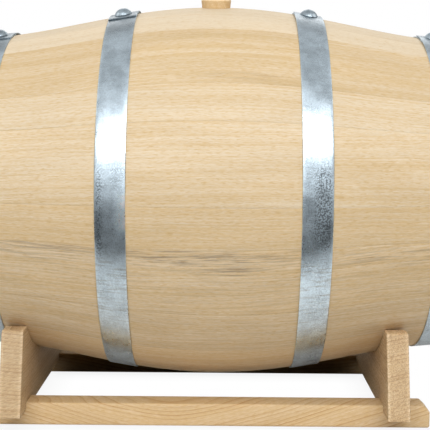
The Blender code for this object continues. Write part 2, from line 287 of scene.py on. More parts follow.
def sharp_edges(bm, degrees):
    return [e for e in bm.edges if len(e.link_faces) == 2 and e.calc_face_angle() > math.radians(degrees)]


def plain_steel(_point):
    return 0.8, 0.1, 0.1


def no_char(_point):
    return 0.0


def paint(mesh, name, kind, field, value_at):
    """Writes an attribute that is a function of the point."""
    points = [vertex.co.copy() for vertex in mesh.vertices]
    data = mesh.attributes.new(name, kind, "POINT").data
    for item, point in zip(data, points):
        setattr(item, field, value_at(point))


def add_piece(node, bm, look, grain_at, tone_at, char_at=no_char):
    """Names, shades and paints a finished mesh, and lets it stand for its CAD node."""
    obj = new_object(f"fine_{node}", bm)
    mesh = obj.data
    mesh.shade_smooth()
    mesh.set_sharp_from_angle(angle=math.radians(32))
    mesh.materials.append(look)
    paint(mesh, "grain", "FLOAT_VECTOR", "vector", grain_at)
    paint(mesh, "tone", "FLOAT_VECTOR", "vector", tone_at)
    paint(mesh, "char", "FLOAT", "value", char_at)
    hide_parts(node)
    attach(obj, frame["nodes"][node]["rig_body"])


# --- Staves ---


def outer_radius(x):
    t = x / HALF_LENGTH
    return BILGE_RADIUS - END_DROP * (2 * t**2 - t**4)


def inner_radius(x):
    return outer_radius(x) - STAVE_THICKNESS


def croze_bottom():
    return inner_radius(HALF_LENGTH - HEAD_INSET) + CROZE_DEPTH


def stave_outline():
    """A stave's closed outline as (x, radius, 1 on the outside or 0 elsewhere)."""
    croze_x = HALF_LENGTH - HEAD_INSET
    croze_start, croze_end = croze_x + CROZE_WIDTH / 2, croze_x - CROZE_WIDTH / 2
    chamfer_x = HALF_LENGTH - END_CHAMFER
    half = [(chamfer_x * 2 * i / OUTSIDE_STEPS, 1) for i in range(1, OUTSIDE_STEPS // 2 + 1)]
    half = [(x, outer_radius(x), outside) for x, outside in half]
    end_radius = outer_radius(HALF_LENGTH)
    bevel_x = HALF_LENGTH - CHIME_BEVEL
    half += [
        (HALF_LENGTH - END_CHAMFER / 3, end_radius - END_CHAMFER / 3, 0),
        (HALF_LENGTH, end_radius - END_CHAMFER, 0),
        (HALF_LENGTH, end_radius - CHIME_TIP + 0.0006, 0),
        (HALF_LENGTH - 0.0006, end_radius - CHIME_TIP, 0),
        (bevel_x, inner_radius(bevel_x), 0),
        (croze_start, inner_radius(croze_start), 0),
        (croze_start, croze_bottom(), 0),
        (croze_end, croze_bottom(), 0),
    ]
    for i in range(INSIDE_STEPS // 2, 0, -1):
        x = croze_end * 2 * i / INSIDE_STEPS
        half.append((x, inner_radius(x), 0))
    mirrored = [(-x, radius, outside) for x, radius, outside in reversed(half)]
    return [(0.0, BILGE_RADIUS, 1)] + half + [(0.0, inner_radius(0.0), 0)] + mirrored


def arris_drop(distance):
    """How far the surface lies below the edge's corner, within the rounding of an edge."""
    if distance >= ARRIS:
        return 0.0
    return ARRIS - math.sqrt(ARRIS**2 - (ARRIS - distance) ** 2)


def stave_rows(first, last):
    width = math.radians(last - first) * BILGE_RADIUS
    edge = [0.0, ARRIS * 0.12, ARRIS * 0.4, ARRIS]
    count = round((width - 2 * ARRIS) / STAVE_STEP)
    inner = [ARRIS + (width - 2 * ARRIS) * k / count for k in range(1, count)]
    across = edge + inner + [width - d for d in reversed(edge)]
    outline = stave_outline()
    rows = []
    for distance in across:
        degrees = first + math.degrees(distance / BILGE_RADIUS)
        drop = arris_drop(min(distance, width - distance))
        rows.append([ring_point(x, radius - drop * outside, degrees) for x, radius, outside in outline])
    return rows


def char_at(point):
    """The inside between the heads is toasted."""
    depth = outer_radius(point[0]) - polar(point)[0]
    inside = abs(point[0]) < HALF_LENGTH - HEAD_INSET - CROZE_WIDTH / 2 + 0.001
    return max(0.0, 1 - (STAVE_THICKNESS - depth) / STAVE_CHAR) if inside else 0.0


def across_stave(point, middle):
    """(distance round the barrel from the stave's middle angle, distance from the axis) of a point."""
    radius, degrees = polar(point)
    return math.radians((degrees - middle + 180) % 360 - 180) * radius, radius


class StaveLook:
    """Where a stave was cut from its log, its colour and its own marks.

    pith is how far the log's middle lies to the side of the stave's, and tilt how much that grows along it.
    A mark is ((brightness, gold, grey) added, middle along, middle across, half length, half width).
    """

    def __init__(self, pith, tilt, tone, marks=()):
        self.pith = pith
        self.tilt = tilt
        self.tone = tone
        self.marks = marks

    def grain(self, middle, number):
        """Quarter-sawn: the rings stand upright on the face, and run along it."""

        def at(point):
            across, radius = across_stave(point, middle)
            side = self.pith + across + self.tilt * point[0]
            return point[0] + NEXT_STAVE * number, side, radius - outer_radius(point[0]) + STAVE_PITH_DEPTH

        return at

    def painted(self, middle):
        """The stave's own tone, with its marks blended in."""

        def at(point):
            across, _ = across_stave(point, middle)
            tone = Vector(self.tone)
            for change, along_middle, across_middle, half_length, half_width in self.marks:
                away = ((point[0] - along_middle) / half_length) ** 2
                away += ((across - across_middle) / half_width) ** 2
                tone += Vector(change) * math.exp(-away)
            return tone

        return at


STREAKS = (  # mineral stain along the upper part of stave_07
    ((-0.04, -0.20, 0.90), -0.015, -0.027, 0.070, 0.009),
    ((0.0, -0.10, 0.80), 0.020, -0.014, 0.025, 0.004),
    ((-0.05, -0.20, 0.50), -0.160, -0.026, 0.055, 0.012),
    ((0.03, -0.10, 0.45), 0.170, -0.018, 0.060, 0.008),
)
GOLDEN_BANDS = (  # darker and paler growth bands along stave_03
    ((-0.03, 0.15, 0.10), -0.025, -0.025, 0.050, 0.006),
    ((0.01, -0.36, 0.0), 0.000, -0.001, 0.160, 0.0025),
    ((-0.03, 0.20, 0.40), 0.030, 0.029, 0.050, 0.004),
    ((-0.05, 0.40, 0.0), 0.090, 0.036, 0.060, 0.005),
)
LOWER_FADE = (((0.03, 0.03, 0.0), 0.0, 0.019, 0.400, 0.013),)  # stave_04 is brighter towards stave_05
UPPER_FADE = (  # stave_05 is darker towards stave_04, and more golden to the right
    ((-0.03, -0.03, 0.0), 0.0, -0.038, 0.400, 0.016),
    ((-0.02, 0.16, 0.0), 0.150, 0.005, 0.060, 0.030),
)
STAVE_LOOKS = {
    "bung_stave": StaveLook(0.15, 0.01, (0.90, 0.04, 0.0)),
    "stave_02": StaveLook(0.16, 0.00, (0.915, -0.04, 0.0)),
    "stave_03": StaveLook(0.11, 0.02, (0.875, 0.72, 0.0), GOLDEN_BANDS),
    "stave_04": StaveLook(0.13, -0.01, (0.90, 0.37, 0.0), LOWER_FADE),
    "stave_05": StaveLook(0.12, 0.015, (0.98, 0.47, 0.05), UPPER_FADE),
    "stave_06": StaveLook(0.14, 0.0, (0.98, 0.80, 0.10)),
    "stave_07": StaveLook(0.10, 0.02, (0.98, 0.74, 0.25), STREAKS),
    "stave_08": StaveLook(0.12, -0.015, (0.94, 0.62, 0.20)),
    "stave_09": StaveLook(0.13, 0.01, (1.0, 0.75, 0.10)),
}


def stave_look(name):
    """The named look, or one of a few plain ones for the staves round the back."""
    if name in STAVE_LOOKS:
        return STAVE_LOOKS[name]
    number = int(name[-2:])
    brightness = 1.0 + 0.03 * math.sin(2.3 * number)
    gold = 0.45 + 0.25 * math.sin(4.1 * number)
    grey = 0.3 * max(0.0, math.sin(1.7 * number))
    return StaveLook(0.12 + 0.02 * math.sin(number), 0.015 * math.cos(number), (brightness, gold, grey))


def add_staves(look):
    """The staves, each a little wider than in the CAD, whose joints stand further open."""
    wider = math.degrees((GAP - JOINT_GAP) / 2 / BILGE_RADIUS)
    for number, node in enumerate(["bung_stave"] + STAVES, start=1):
        first, last = span_degrees(node)
        first, last = first - wider, last + wider
        bm = skin(stave_rows(first, last))
        if node == "bung_stave":
            bm = combine(bm, bung_hole(), "DIFFERENCE")
        kind = stave_look(node)
        middle = (first + last) / 2
        add_piece(node, bm, look, kind.grain(middle, number), kind.painted(middle), char_at)


# --- Bung ---


def bung_lean():
    """The turn about the barrel's axis that takes an upright bung to the CAD bung."""
    points = [vertex.co for vertex in frame["nodes"]["bung"].data.vertices]
    degrees = polar(sum(points, Vector()) / len(points))[1]
    axis = Matrix.Translation((0.0, 0.0, AXIS_HEIGHT))
    return axis @ Matrix.Rotation(math.radians(degrees), 4, "X") @ axis.inverted()


def bung_measures():
    """(radius at the top, radius at the foot, foot height, top height) of the bung, set upright."""
    upright = bung_lean().inverted()
    rings = {}
    for vertex in frame["nodes"]["bung"].data.vertices:
        point = upright @ vertex.co
        rings.setdefault(round(point.z, 4), []).append(math.hypot(point.x, point.y))
    heights = sorted(rings)
    return max(rings[heights[-2]]), max(rings[heights[1]]), heights[0], heights[-1]


def bung_hole():
    top_radius, foot_radius, foot, top = bung_measures()
    taper = (top_radius - foot_radius) / (top - foot)
    below, above = 0.02, 0.01
    profile = [
        (foot_radius - below * taper + HOLE_SPARE, foot - below),
        (top_radius + above * taper + HOLE_SPARE, top + above),
    ]
    return lathe(profile, 72, bung_lean())


def add_bung(look):
    """A turned plug with a narrow chamfer round its top and foot and faint tool rings down its side."""
    top_radius, foot_radius, foot, top = bung_measures()
    chamfer = BUNG_CHAMFER
    profile = [(foot_radius - chamfer, foot), (foot_radius - chamfer * 0.25, foot + chamfer * 0.4)]
    for k in range(BUNG_STEPS + 1):
        t = k / BUNG_STEPS
        height = foot + chamfer + (top - foot - 2 * chamfer) * t
        ring = TOOL_RING_DEPTH * (1 + math.sin(2 * math.pi * TOOL_RINGS * t))
        profile.append((foot_radius + (top_radius - foot_radius) * t - ring, height))
    profile.append((top_radius - chamfer * 0.25, top - chamfer * 0.35))
    profile.append((top_radius - chamfer, top))
    profile.append((top_radius * 0.6, top))
    bm = lathe(profile, 72, bung_lean())
    upright = bung_lean().inverted()

    def grain(point):
        x, y, z = upright @ Vector(point)
        return y + 0.4, BUNG_PITH[0] + x, z - top + BUNG_PITH[1]

    def tone(point):
        crown = (upright @ Vector(point)).z > top - chamfer * 0.9
        return (1.12, 0.05, 0.0) if crown else (1.0, 0.8, 0.0)

    add_piece("bung", bm, look, grain, tone)


# --- Heads ---


def head_disc():
    """The whole head as one turned disc, its outer face at +Z."""
    half = HEAD_THICKNESS / 2
    rim = croze_bottom() - GAP
    edge = CROZE_WIDTH / 2 - GAP
    shoulder = rim - RIM_TONGUE
    lower = [(shoulder - RIM_BEVEL_INSIDE, -half), (shoulder, -edge), (rim, -edge)]
    upper = [(rim, edge), (shoulder, edge), (shoulder - RIM_BEVEL_OUTSIDE, half)]
    return lathe(lower + upper, 144)


def head_blank(low_y, high_y, grooved, tongued):
    """The space that one board takes of the head's disc, with its tongue and groove."""
    thick = HEAD_THICKNESS
    tongue = TONGUE_WIDTH / 2
    groove = tongue + GAP
    outline = [(-thick, low_y), (-thick, high_y)]
    if tongued:
        outline += [(-tongue, high_y), (-tongue, high_y + TONGUE_LENGTH)]
        outline += [(tongue, high_y + TONGUE_LENGTH), (tongue, high_y)]
    outline += [(thick, high_y), (thick, low_y)]
    if grooved:
        outline += [(groove, low_y), (groove, low_y + TONGUE_LENGTH)]
        outline += [(-groove, low_y + TONGUE_LENGTH), (-groove, low_y)]
    return skin([[Vector((x, y, z)) for x, y in outline] for z in (-BILGE_RADIUS, BILGE_RADIUS)])


def add_head(side, sign, look):
    """Five tongued boards standing upright, with a fine arris along each joint."""
    place = Matrix.Translation((sign * (HALF_LENGTH - HEAD_INSET), 0.0, AXIS_HEIGHT))
    turn = Matrix.Rotation(sign * math.pi / 2, 4, "Y")
    nodes = [f"head_{side}_board_{k}" for k in range(1, 6)]
    for number, node in enumerate(nodes, start=1):
        low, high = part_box(node)
        first, last = node == nodes[0], node == nodes[-1]
        low_y = -BILGE_RADIUS if first else low.y
        high_y = BILGE_RADIUS if last else high.y - TONGUE_LENGTH
        bm = head_disc()
        bmesh.ops.transform(bm, matrix=turn, verts=bm.verts)
        bm = combine(bm, head_blank(low_y, high_y, not first, not last), "INTERSECT")
        joints = [e for e in sharp_edges(bm, 60) if is_face_joint(e, low_y, high_y)]
        round_edges(bm, joints, HEAD_ARRIS, 2)
        bmesh.ops.transform(bm, matrix=place, verts=bm.verts)
        middle = (max(low.y, -BILGE_RADIUS) + min(high.y, BILGE_RADIUS)) / 2
        brightness = 1.0 + 0.035 * math.sin(2.1 * number + sign)
        gold = 0.5 + 0.25 * math.sin(3.3 * number + 2 * sign)

        def grain(point, middle=middle, number=number):
            side = HEAD_PITH + point[1] - middle + HEAD_TILT * point[2]
            return point[2] + NEXT_BOARD * number, side, sign * point[0]

        def tone(_point, brightness=brightness, gold=gold):
            return brightness, gold, 0.1

        def char(point):
            inner_face = HALF_LENGTH - HEAD_INSET - HEAD_THICKNESS / 2
            return min(1.0, max(0.0, 1 - (sign * point[0] - inner_face) / HEAD_CHAR))

        add_piece(node, bm, look, grain, tone, char)


def is_face_joint(edge, low_y, high_y):
    """Whether an edge runs up a joint on one of the head's two faces."""
    a, b = (v.co for v in edge.verts)
    on_face = abs(abs(a.x) - HEAD_THICKNESS / 2) < 1e-4 and abs(abs(b.x) - HEAD_THICKNESS / 2) < 1e-4
    return on_face and any(abs(a.y - y) < 1e-4 and abs(b.y - y) < 1e-4 for y in (low_y, high_y))


# --- Hoops and rivets ---


def smooth_step(t):
    t = min(1.0, max(0.0, t))
    return t * t * (3 - 2 * t)


def strip_outline(width):
    """(across, height) loop of a rolled strip: flat, with rounded edges."""
    flat_half = width / 2 - STRIP_EDGE
    columns = 9
    flats = [flat_half * (2 * k / columns - 1) for k in range(columns + 1)]
    turns = [math.pi * k / 6 for k in range(1, 6)]
    half_thick = STRIP_THICKNESS / 2
    outline = [(across, 0.0) for across in flats]
    outline += [(flat_half + STRIP_EDGE * math.sin(a), half_thick * (1 - math.cos(a))) for a in turns]
    outline += [(-across, STRIP_THICKNESS) for across in flats]
    outline += [(-flat_half - STRIP_EDGE * math.sin(a), half_thick * (1 + math.cos(a))) for a in turns]
    return outline


def strip_dent(around, across, seed):
    """Slow swelling of the metal, so that reflections aren't ruled straight."""
    slow = noise.noise(Vector((around * 35, across * 45, seed)))
    quick = noise.noise(Vector((around * 110, across * 90, seed + 9)))
    return DENT * (1.4 * slow + 0.5 * quick)


def add_hoop(node, look):
    """A conical strip bent round the staves, whose end rises over its start, and its rivet."""
    low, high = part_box(node)
    middle_x, width = (low.x + high.x) / 2, high.x - low.x
    lap_middle = middle_degrees(f"rivet_{node}")
    lap_turn = 1 if node.endswith("left") else -1
    total = 360 + 2 * LAP_HALF_DEG
    steps = round(total / STRIP_STEP_DEG)
    lift = STRIP_THICKNESS + STRIP_REST
    outline = strip_outline(width)
    slope = (outer_radius(high.x) - outer_radius(low.x)) / width
    seed = 20 * middle_x
    rows = []
    for k in range(-2, steps + 3):
        past_end = k - steps if k > steps else min(k, 0)
        run = min(max(total * k / steps, 0.0), total)
        squeeze = (1.0, 0.85, 0.55)[abs(past_end)]
        degrees = lap_middle + lap_turn * (run - LAP_HALF_DEG + END_ROUND_DEG * past_end)
        rise = lift * smooth_step((run - (360 - LAP_RAMP_DEG)) / (LAP_RAMP_DEG * LAP_RAMP_SHARE))
        around = math.radians(run) * BILGE_RADIUS
        row = []
        for across, height in outline:
            level = STRIP_THICKNESS / 2 + (height - STRIP_THICKNESS / 2) * squeeze
            seat = outer_radius(middle_x) + slope * across + STRIP_REST + strip_dent(around, across, seed)
            row.append(ring_point(middle_x + across, seat + rise + level, degrees))
        rows.append(row)
    bm = skin(rows)
    side, sign = ("left", 1) if middle_x < 0 else ("right", -1)

    def grain(point):
        radius, degrees = polar(point)
        across = (point[0] - middle_x) * sign
        return math.radians(degrees) * BILGE_RADIUS + 3 * seed, across, radius - outer_radius(point[0])

    def tone(point):
        outward = (middle_x - point[0]) * sign / (width / 2)
        return strip_tone(polar(point)[1], outward, side)

    add_piece(node, bm, look, grain, tone)
    add_rivet(node, middle_x, width, lap_middle, look)


def between(value, first, rise, last, fall):
    """1 from first + rise to last - fall, and smoothly down to 0 outside."""
    return smooth_step((value - first) / rise) * smooth_step((last - value) / fall)


# The angle where the pitted stretch at the front ends (the right hoop's painted reflection uses it too),
# how far out across the strip its deeper pits begin, how deep those and the others are, and how much darker
# the strip is near the top, a painted shade
HOOP_WEAR_AND_SHADE = {"left": (107, 0.35, 1.10, 0.20, 0.48), "right": (104, -0.35, 0.75, 0.35, 0.26)}


def strip_tone(degrees, outward, side):
    """(brightness, how pitted, how scuffed) at that many degrees from the top towards the front.

    outward runs from -1 to 1, at the edge nearer the barrel's end.
    """
    waist_end, pits_begin, edge_pits, all_pits, lap_shade = HOOP_WEAR_AND_SHADE[side]
    waist = between(degrees, 76, 8, waist_end, 5)
    flat = smooth_step((0.97 - abs(outward)) / 0.10)
    pitted = smooth_step((outward - pits_begin) / 0.6) * (0.20 + edge_pits * waist)
    pitted = flat * (pitted + 0.10 + all_pits * waist)
    scuffed = 0.15 + 0.7 * between(degrees, 104, 4, 136, 14)
    # Painted highlight: the rounded edges are lighter than the flat of the strip
    brightness = 1.03 + 0.10 * (1 - flat)
    if side == "left":  # painted reflection: brighter along its inner edge
        inner = 0.10 - 0.24 * outward + 0.40 * smooth_step((-0.1 - outward) / 0.4)
        brightness += inner * between(degrees, 82, 7, 101, 6)
    else:
        # Painted reflection: brighter over the front and below it
        brightness += 0.20 * waist + 0.20 * between(degrees, 90, 10, 132, 14)
    # Painted shade: darker near the top
    brightness -= lap_shade * smooth_step((34 - abs(degrees)) / 8)
    brightness -= 0.25 * between(degrees, 73, 4, 83, 4)
    return brightness, pitted, scuffed


def add_rivet(hoop, middle_x, width, lap_middle, look):
    """A big domed rivet, slightly dished where the hammer caught it."""
    low, high = outer_radius(middle_x - width / 2), outer_radius(middle_x + width / 2)
    slope = math.atan2(high - low, width)
    seat = 2 * (STRIP_THICKNESS + STRIP_REST)
    place = Matrix.Translation((0.0, 0.0, AXIS_HEIGHT)) @ Matrix.Rotation(math.radians(lap_middle), 4, "X")
    place = place @ Matrix.Translation((middle_x, 0.0, outer_radius(middle_x)))
    place = place @ Matrix.Rotation(-slope, 4, "Y")
    sphere = (RIVET_RADIUS**2 + RIVET_HEIGHT**2) / (2 * RIVET_HEIGHT)
    widest = math.asin(RIVET_RADIUS / sphere)
    under, crown = seat - 0.0001, seat + 0.0002 + RIVET_HEIGHT
    profile = [(RIVET_SHANK, 0.0004), (RIVET_SHANK, under), (RIVET_RADIUS - 0.0003, under)]
    steps = 12
    for k in range(steps):
        angle = widest * (1 - k / steps)
        profile.append((sphere * math.sin(angle), crown - sphere * (1 - math.cos(angle))))
    profile.append((0.0002, crown))
    bm = lathe(profile, 48)
    for vertex in bm.verts:
        bump = noise.noise(vertex.co * 260 + Vector((middle_x * 50, 0, 0)))
        if vertex.co.z > seat + 0.001:
            vertex.co.z -= RIVET_DISH * (1 + bump)
    bmesh.ops.transform(bm, matrix=place, verts=bm.verts)

    def grain(point):
        return point[0] * 1.3 + 2, point[1] * 0.2, point[2]

    add_piece(f"rivet_{hoop}", bm, look, grain, plain_steel)


# --- Cradle ---


def arc_corner(corner, before, after, radius, steps):
    """Points round a corner that is eased by that much each way."""
    corner, before, after = Vector(corner), Vector(before), Vector(after)
    start = corner + (before - corner).normalized() * radius
    end = corner + (after - corner).normalized() * radius
    points = []
    for k in range(steps + 1):
        t = k / steps
        points.append(tuple(start * (1 - t) ** 2 + corner * 2 * t * (1 - t) + end * t**2))
    return points


def board_half(node):
    """(lowest point of the hollow, rest of half a board's (y, z) outline, its lap over the rail)."""
    low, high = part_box(node)
    rail_low, rail_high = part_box("rail_front")
    inner_x = high.x if high.x < 0 else low.x
    hollow = outer_radius(inner_x) + HOLLOW_SPARE
    horn = (HORN_HALF_DEPTH, high.z)
    foot = (high.y, low.z)
    horn_angle = math.acos((AXIS_HEIGHT - high.z) / hollow)
    steps = 40
    angles = [horn_angle * k / steps for k in range(1, steps + 1)]
    arc = [(hollow * math.sin(a), AXIS_HEIGHT - hollow * math.cos(a)) for a in angles]
    lap_outer, lap_inner, lap_top = -rail_low.y + GAP, -rail_high.y - GAP, rail_high.z + GAP
    half = arc[:-1]
    half += arc_corner(arc[-1], arc[-3], horn, HOLLOW_LIP, 3)
    half += arc_corner(horn, arc[-1], foot, HORN_TIP, 6)
    half += arc_corner(foot, horn, (lap_outer, low.z), FOOT_CORNER, 4)
    lap = [(lap_outer, low.z), (lap_outer, lap_top), (lap_inner, lap_top), (lap_inner, low.z)]
    return [(0.0, AXIS_HEIGHT - hollow)], half, lap


# The pith's place to the right of and above the board's lower left edge, an offset along the fibres, the
# brightness and the gold
BOARD_LOOKS = {"left": (0.03, 0.30, 0.3, 0.855, 0.78), "right": (0.05, -0.12, 0.8, 0.915, 0.85)}


def add_board(side, look):
    """A board with the barrel's hollow, horns, a lap over each rail and pale worn edges."""
    node = f"cradle_board_{side}"
    low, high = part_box(node)
    bottom, half, lap = board_half(node)
    outline = bottom + half + lap + [(-y, z) for y, z in reversed(half + lap)]
    bm = skin([[Vector((x, y, z)) for y, z in outline] for x in (low.x, high.x)])
    lap_inner, lap_outer, lap_top = min(y for y, z in lap), max(y for y, z in lap), max(z for y, z in lap)

    def in_lap_at(p):
        return lap_inner - 1e-5 < abs(p.y) < lap_outer + 1e-5 and p.z < lap_top + 1e-5

    def rounded(edge):
        a, b = (v.co for v in edge.verts)
        in_lap = in_lap_at(a) and in_lap_at(b)
        return abs(a.x - b.x) < 1e-6 and not in_lap

    round_edges(bm, [e for e in bm.edges if rounded(e) and len(e.link_faces) == 2], BOARD_EDGE, 4)
    for x in (low.x + WORN_EDGE, high.x - WORN_EDGE):
        slice_at(bm, x)
    sort_faces(bm)
    pith_x, pith_z, along, brightness, gold = BOARD_LOOKS[side]

    def grain(point):
        return point[1] + along, point[2] - low.z - pith_z, point[0] - low.x - pith_x

    def tone(point):
        edge = min(point[0] - low.x, high.x - point[0])
        if 0.0002 < edge < WORN_EDGE - 0.0002:
            return brightness * 1.12, gold * 0.5, 0.0
        return brightness, gold, 0.0

    add_piece(node, bm, look, grain, tone)


# The middle, slope and reach of the bow in the face's grain, then the brightness and the gold
# The rear rail's lower brightness is painted shade: it stands in the barrel's shade
RAIL_LOOKS = {"front": (-0.038, 0.36, 0.05, 0.97, 0.75), "rear": (0.09, 0.2, 0.08, 0.75, 0.9)}


def add_rail(side, look):
    """A square bar with eased edges and its end corners cut off at the top."""
    node = f"rail_{side}"
    low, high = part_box(node)
    cut = RAIL_END_CUT
    corners = [(low.x, low.z), (high.x, low.z), (high.x, high.z - cut), (high.x - cut, high.z)]
    corners += [(low.x + cut, high.z), (low.x, high.z - cut), (low.x, low.z)]
    outline = corners[:2]
    for before, corner, after in zip(corners[1:], corners[2:], corners[3:]):
        outline += arc_corner(corner, before, after, RAIL_CORNER, 2)
    bm = skin([[Vector((x, y, z)) for x, z in outline] for y in (low.y, high.y)])
    round_edges(bm, sharp_edges(bm, 60), RAIL_EDGE, 4)
    for end in ("left", "right"):
        screw_low, screw_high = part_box(f"screw_{side}_{end}")
        middle = (screw_low + screw_high) / 2
        bm = combine(bm, screw_body(middle, screw_low.z, HOLE_SPARE), "DIFFERENCE")
    for k in range(1, RAIL_SLICES):
        slice_at(bm, low.x + (high.x - low.x) * k / RAIL_SLICES)
    bow_x, bow_slope, bow_reach, brightness, gold = RAIL_LOOKS[side]

    def grain(point):
        bow = bow_slope * (math.hypot(point[0] - bow_x, bow_reach) - bow_reach)
        return point[0] + 2.2, point[2] - low.z + RAIL_PITH[0] - bow, point[1] - low.y + RAIL_PITH[1]

    def tone(_point):
        return brightness, gold, 0.0

    add_piece(node, bm, look, grain, tone)


def screw_body(middle, foot, spare):
    """A countersunk screw standing on its head, as a bmesh; spare opens it up into its hole."""
    head, shank = SCREW_HEAD + spare, SCREW_SHANK + spare
    below = 0.002 if spare else 0.0
    profile = [(head, foot - below), (head, foot + 0.0002), (shank, foot + SCREW_CONE_TOP)]
    profile += [(shank, foot + SCREW_SHANK_TOP), (0.0005 + spare, foot + SCREW_TIP + spare)]
    return lathe(profile, 36, Matrix.Translation((middle.x, middle.y, 0.0)))


def add_screw(node, look):
    """A countersunk screw with a cross recess in its head."""
    low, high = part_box(node)
    middle = (low + high) / 2
    bm = screw_body(middle, low.z, 0.0)
    length, width, depth = RECESS
    for size in ((length, width, depth), (width, length, depth)):
        slot = bmesh.new()
        bmesh.ops.create_cube(slot, size=1.0)
        bmesh.ops.scale(slot, vec=size, verts=slot.verts)
        bmesh.ops.translate(slot, vec=(middle.x, middle.y, low.z), verts=slot.verts)
        bm = combine(bm, slot, "DIFFERENCE")

    def grain(point):
        return point[2], point[0] - middle.x, point[1] - middle.y

    add_piece(node, bm, look, grain, plain_steel)


# --- Materials ---

GOLDEN_TINT = (0.82, 0.66, 0.40)
LATE_WOOD_TINT = (0.70, 0.50, 0.27)
BROWN_TINT = (0.62, 0.52, 0.42)
MINERAL_GREY = (0.53, 0.52, 0.55, 1.0)
CHARRED = (0.045, 0.024, 0.013, 1.0)
SCUFF_BROWN = (0.72, 0.66, 0.60, 1.0)
FINE_PORES = (1200.0, 0.5, 0.53, GOLDEN_TINT)
STIPPLE = (820.0, 0.7, 0.47, BROWN_TINT)


class Tree:
    """Short calls for building one material's nodes."""

    def __init__(self, name):
        self.material = bpy.data.materials.new(name)
        self.material.use_nodes = True
        self.nodes = self.material.node_tree.nodes
        self.links = self.material.node_tree.links
        self.shader = self.nodes["Principled BSDF"]

    def put(self, socket, value):
        if isinstance(value, bpy.types.NodeSocket):
            self.links.new(value, socket)
        else:
            socket.default_value = value

    def set(self, name, value):
        self.put(self.shader.inputs[name], value)

    def add(self, kind, inputs, output=0, **settings):
        """The output of a new node with those settings and inputs."""
        node = self.nodes.new(f"ShaderNode{kind}")
        for name, value in settings.items():
            setattr(node, name, value)
        for name, value in inputs.items():
            self.put(node.inputs[name], value)
        return node.outputs[output]

    def attribute(self, name, output="Vector"):
        return self.add("Attribute", {}, output, attribute_name=name)

    def math(self, operation, a, b=0.0, clamp=False):
        return self.add("Math", {0: a, 1: b}, operation=operation, use_clamp=clamp)

    def times(self, a, b, clamp=False):
        return self.math("MULTIPLY", a, b, clamp)

    def plus(self, a, b, clamp=False):
        return self.math("ADD", a, b, clamp)

    def minus(self, a, b):
        return self.math("SUBTRACT", a, b)

    def vector(self, operation, inputs, output="Vector"):
        return self.add("VectorMath", inputs, output, operation=operation)

    def split(self, vector):
        return tuple(self.add("SeparateXYZ", {0: vector}).node.outputs)

    def join(self, x, y, z):
        return self.add("CombineXYZ", {0: x, 1: y, 2: z})

    def noise(self, vector, rates, detail, roughness=0.5):
        """Noise with about that many specks per metre each way."""
        place = self.vector("MULTIPLY", {0: vector, 1: rates})
        inputs = {"Vector": place, "Scale": 1.0, "Detail": detail, "Roughness": roughness}
        return self.add("TexNoise", inputs, "Fac")

    def swing(self, noise, amount):
        """A noise as a change about zero."""
        return self.times(self.minus(noise, 0.5), amount)

    def fade(self, value, low, high, bottom=0.0, top=1.0):
        """bottom below low, top above high, and smooth between."""
        inputs = {0: value, 1: low, 2: high, 3: bottom, 4: top}
        return self.add("MapRange", inputs, interpolation_type="SMOOTHSTEP")

    def mix(self, factor, a, b, blend="MIX"):
        return self.add("Mix", {0: factor, 6: a, 7: b}, 2, data_type="RGBA", blend_type=blend)

    def multiply(self, factor, colour, by):
        return self.mix(factor, colour, by, "MULTIPLY")

    def shade(self, colour, value):
        """The colour times a number."""
        return self.multiply(1.0, colour, self.join(value, value, value))

    def bump(self, height, strength, distance):
        inputs = {"Height": height, "Strength": strength, "Distance": distance}
        self.set("Normal", self.add("Bump", inputs))


def growth_place(tree, grain, sway_width):
    """(place, radius): the point as (along, distance from the pith, way round it), and that distance."""
    along, side, depth = tree.split(grain)
    radius = tree.vector("LENGTH", {0: tree.join(0.0, side, depth)}, "Value")
    turn = tree.times(tree.math("ARCTAN2", depth, side), radius)
    sway = tree.noise(grain, (7.0, 16.0, 16.0), 2.0)
    radius = tree.plus(radius, tree.swing(sway, sway_width))
    return tree.join(along, radius, turn), radius


def growth_rings(tree, radius, rate):
    """(ring, line): how far out in its ring the point lies, and the dark edge of each ring."""
    ring = tree.math("FRACT", tree.times(radius, rate))
    strong = tree.noise(tree.join(0.0, radius, 0.0), (1.0, 95.0, 1.0), 1.0)
    line = tree.times(tree.math("POWER", ring, 4.0), tree.fade(strong, 0.35, 0.65, 0.25, 1.0))
    return ring, line


def warmth(tree, swings, golden, grey):
    """How golden the wood is: the sum of (noise, amount) swings, less where it is grey, on its own tone."""
    warm = tree.swing(*swings[0])
    for swing in swings[1:]:
        warm = tree.plus(warm, tree.swing(*swing))
    warm = tree.times(warm, tree.minus(1.0, tree.times(grey, 0.5)))
    return tree.plus(warm, golden, clamp=True)


